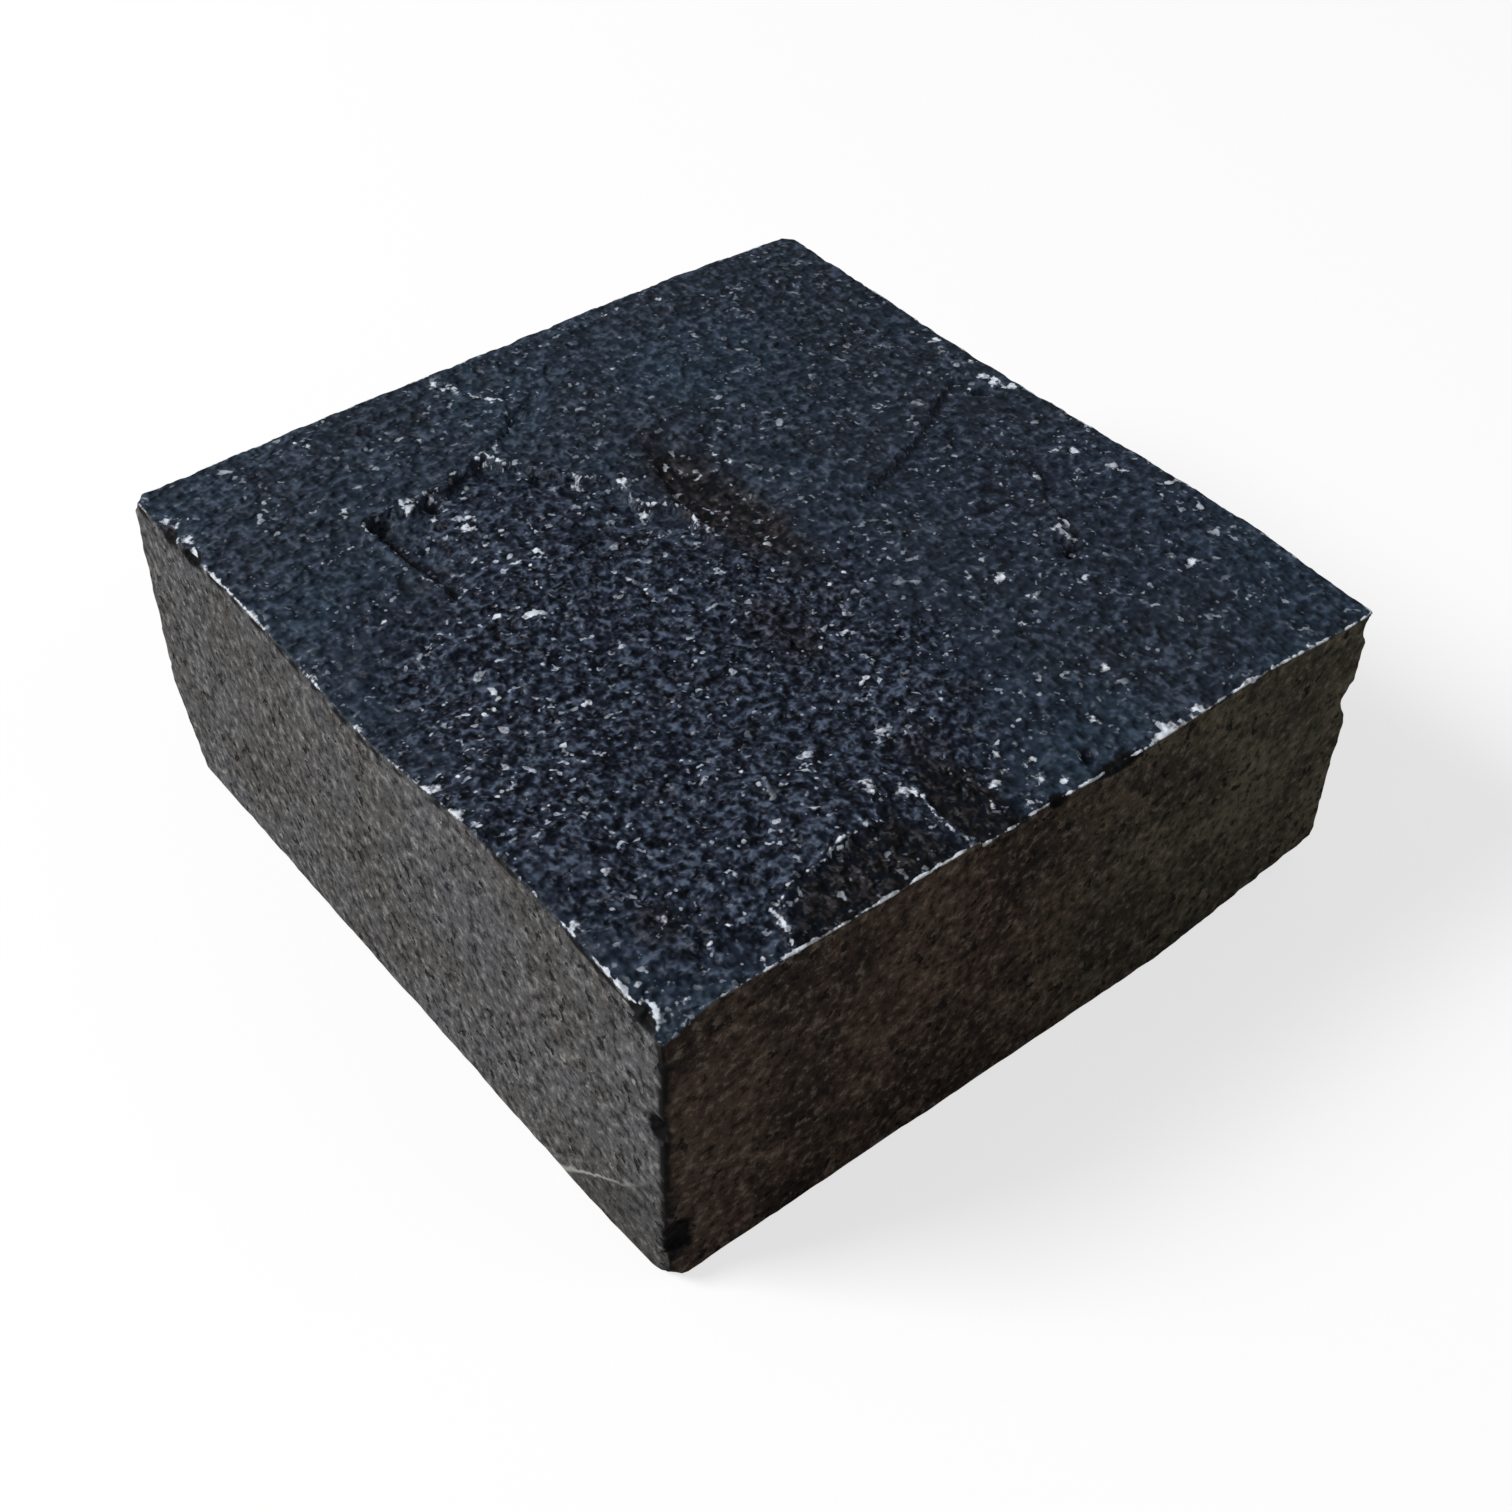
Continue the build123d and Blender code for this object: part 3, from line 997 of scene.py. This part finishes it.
    sawn_colour = put(MIX, painted_light_and_dust, shaded_and_clean, lit_and_dusty)
    for share, layer in (
        (put(RANGE, speckle, 0.51, 0.68, 0.0, 0.6), light_grain),
        (put(RANGE, speckle, 0.50, 0.37, 0.0, 0.85), dark_grain),
        (put(TIMES, shaded, 0.3), linear("#1c1a18")),
        # Painted highlight along the ridge of the spall.
        (put(TIMES, ridge, 0.6), linear("#a9a8a4")),
        (put(TIMES, pores, 0.85), linear("#0a0807")),
        (put(TIMES, put(TIMES, chalk, painted_light_and_dust), 0.6), linear("#99968f")),
        # White where crushed and where highlights are painted.
        (sawn_white, linear("#b3b1ab")),
        # Painted shade in the undercut below the left arris and down the front left edge.
        (put(TIMES, mask["deep"], 0.95), linear("#050505")),
    ):
        sawn_colour = put(MIX, share, sawn_colour, layer)

    # Chips are fresh black stone, painted darker than the split face as shade in their
    # scoops, apart from the white powder at their lips.
    colour = put(MIX, mask["cleft"], sawn_colour, split_colour)
    chip_share = put(TIMES, mask["chipped"], put(RANGE, white, 0.0, 1.0, 1.0, 0.0))
    chip_colour = put(MIX, put(RANGE, grain, 0.48, 0.7), linear("#030304"), linear("#14171c"))
    colour = put(MIX, chip_share, colour, chip_colour)

    # Relief that is too fine for the mesh. The grains of the split face also tilt each their
    # own way, which makes some of them glint and leaves others dark.
    torn = put(TIMES, mask["torn"], 0.5)
    broken = put(LARGER, mask["cleft"], put(LARGER, mask["chipped"], torn))
    split_bump = put(BUMP, broken, split_bump_height * MM, grain)
    saw_relief = put(LESS, put(TIMES, speckle, 0.6), pores)
    whole_bump = put(BUMP, put(LESS, 1.0, broken), sawn_bump_height * MM, saw_relief, split_bump)
    drift = put(COLOUR_NOISE, place, per_metre(grain_tilt_size), 1.0)
    tilt_share = put(TIMES, broken, put(RANGE, rough, 0.0, 1.0, 1.6, 2.6))
    tilt = put(VECTOR_TIMES, put(VECTOR_LESS, drift, (0.5, 0.5, 0.5)), tilt_share)
    normal = put(UNIT_VECTOR, put(VECTOR_PLUS, whole_bump, tilt))

    # Basalt's IOR is 1.55 to 1.6. Dry and unsealed it hardly shines, because its open grain
    # swallows most of the mirror light, so the specular level is low all over. The split
    # crystals are glossier than the sawn faces.
    roughness = put(RANGE, mask["cleft"], 0.0, 1.0, 0.85, 0.55)
    put(MATERIAL_END, put(STONE, colour, roughness, 1.55, 0.12, normal))
    return material


def make_stone():
    """The whole stone as one closed mesh."""
    block, quads, triangles = block_grid()
    points, found = worn_stone(block)
    mesh = bpy.data.meshes.new("cobblestone_split_and_sawn")
    mesh.from_pydata((points * MM).tolist(), [], quads.tolist() + triangles.tolist())
    for name, values in surface_masks(block, points, found).items():
        attribute = mesh.attributes.new(name, "FLOAT", "POINT")
        attribute.data.foreach_set("value", values.astype(np.float32))
    mesh.shade_smooth()
    mesh.materials.append(split_and_sawn_basalt())
    piece = bpy.data.objects.new("cobblestone_split_and_sawn", mesh)
    bpy.context.scene.collection.objects.link(piece)
    return piece


stone = make_stone()
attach(stone, "root")
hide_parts("cobblestone")


# Studio.
def studio_floor():
    """A disc of pale card, matt and even, with a radius of 3 m. The camera sees it nearly
    white, and it keeps the stone's shadow. The stone itself sees it grey."""
    radius = 3.0
    turn = np.linspace(0, 2 * np.pi, 96, endpoint=False)
    rim = np.stack([np.cos(turn), np.sin(turn), np.zeros_like(turn)], axis=-1) * radius
    mesh = bpy.data.meshes.new("studio_floor")
    mesh.from_pydata(rim.tolist(), [], [list(range(len(rim)))])
    material = bpy.data.materials.new("white_card_floor")
    put = partial(add, emptied_tree(material))
    grey = put(DIFFUSE, linear("#b0b0b0"))
    white = put(DIFFUSE, linear("#f4f4f4"))
    bright = put(SHADER_MIX, 0.7, white, put(GLOW, linear("#ffffff"), 1.0))
    put(MATERIAL_END, put(SHADER_MIX, put(CAMERA_RAY), grey, bright))
    mesh.materials.append(material)
    floor = bpy.data.objects.new("studio_floor", mesh)
    bpy.context.scene.collection.objects.link(floor)


def studio_world():
    """Even light from all round, with white behind the stone for the camera alone."""
    world = bpy.data.worlds.new("studio")
    bpy.context.scene.world = world
    put = partial(add, emptied_tree(world))
    soft = put(BACKGROUND, linear("#ffffff"), 0.2)
    white = put(BACKGROUND, linear("#ffffff"), 1.0)
    put(WORLD_END, put(SHADER_MIX, put(CAMERA_RAY), soft, white))


def softbox(name, place, aim, size, power):
    """A square lamp at a place in metres that faces the point it is aimed at. Its size is
    in metres and its power in watts."""
    lamp = bpy.data.lights.new(name, "AREA")
    lamp.shape = "SQUARE"
    lamp.size = size
    lamp.energy = power
    holder = bpy.data.objects.new(name, lamp)
    towards = np.array(aim) - np.array(place)
    holder.rotation_mode = "QUATERNION"
    holder.rotation_quaternion = Vector(towards).to_track_quat("-Z", "Y")
    holder.location = place
    bpy.context.scene.collection.objects.link(holder)


def camera():
    """The camera stands where the photograph was taken: its bearing, height and roll, in
    degrees, and its distance from a point in the stone, in millimetres."""
    azimuth, elevation, roll = np.radians([-39.807, 42.983, 1.380])
    target = np.array([-6.357, -11.581, 20.0])
    distance = 239.03
    level_part = np.cos(elevation)
    back_x, back_y = np.sin(azimuth) * level_part, -np.cos(azimuth) * level_part
    back = np.array([back_x, back_y, np.sin(elevation)])
    level = np.cross(-back, (0, 0, 1))
    level /= np.linalg.norm(level)
    upright = np.cross(level, -back)
    right = np.cos(roll) * level + np.sin(roll) * upright
    up = np.cos(roll) * upright - np.sin(roll) * level
    view = bpy.data.cameras.new("camera")
    view.sensor_width = 36.0
    view.lens = 49.65
    view.clip_start = 0.01
    holder = bpy.data.objects.new("camera", view)
    pose = np.eye(4)
    pose[:3, :3] = np.stack([right, up, back], axis=-1)
    pose[:3, 3] = (target + back * distance) * MM
    holder.matrix_world = Matrix(pose.tolist())
    bpy.context.scene.collection.objects.link(holder)
    bpy.context.scene.camera = holder


studio_floor()
studio_world()
stone_middle = (0, 0, 0.02)
softbox("key", (-1.5, 0.88, 1.5), stone_middle, 0.87, 69.0)
softbox("fill", (0.5, -0.7, 0.6), stone_middle, 0.8, 1.2)
camera()
bpy.context.scene.view_settings.view_transform = "Standard"
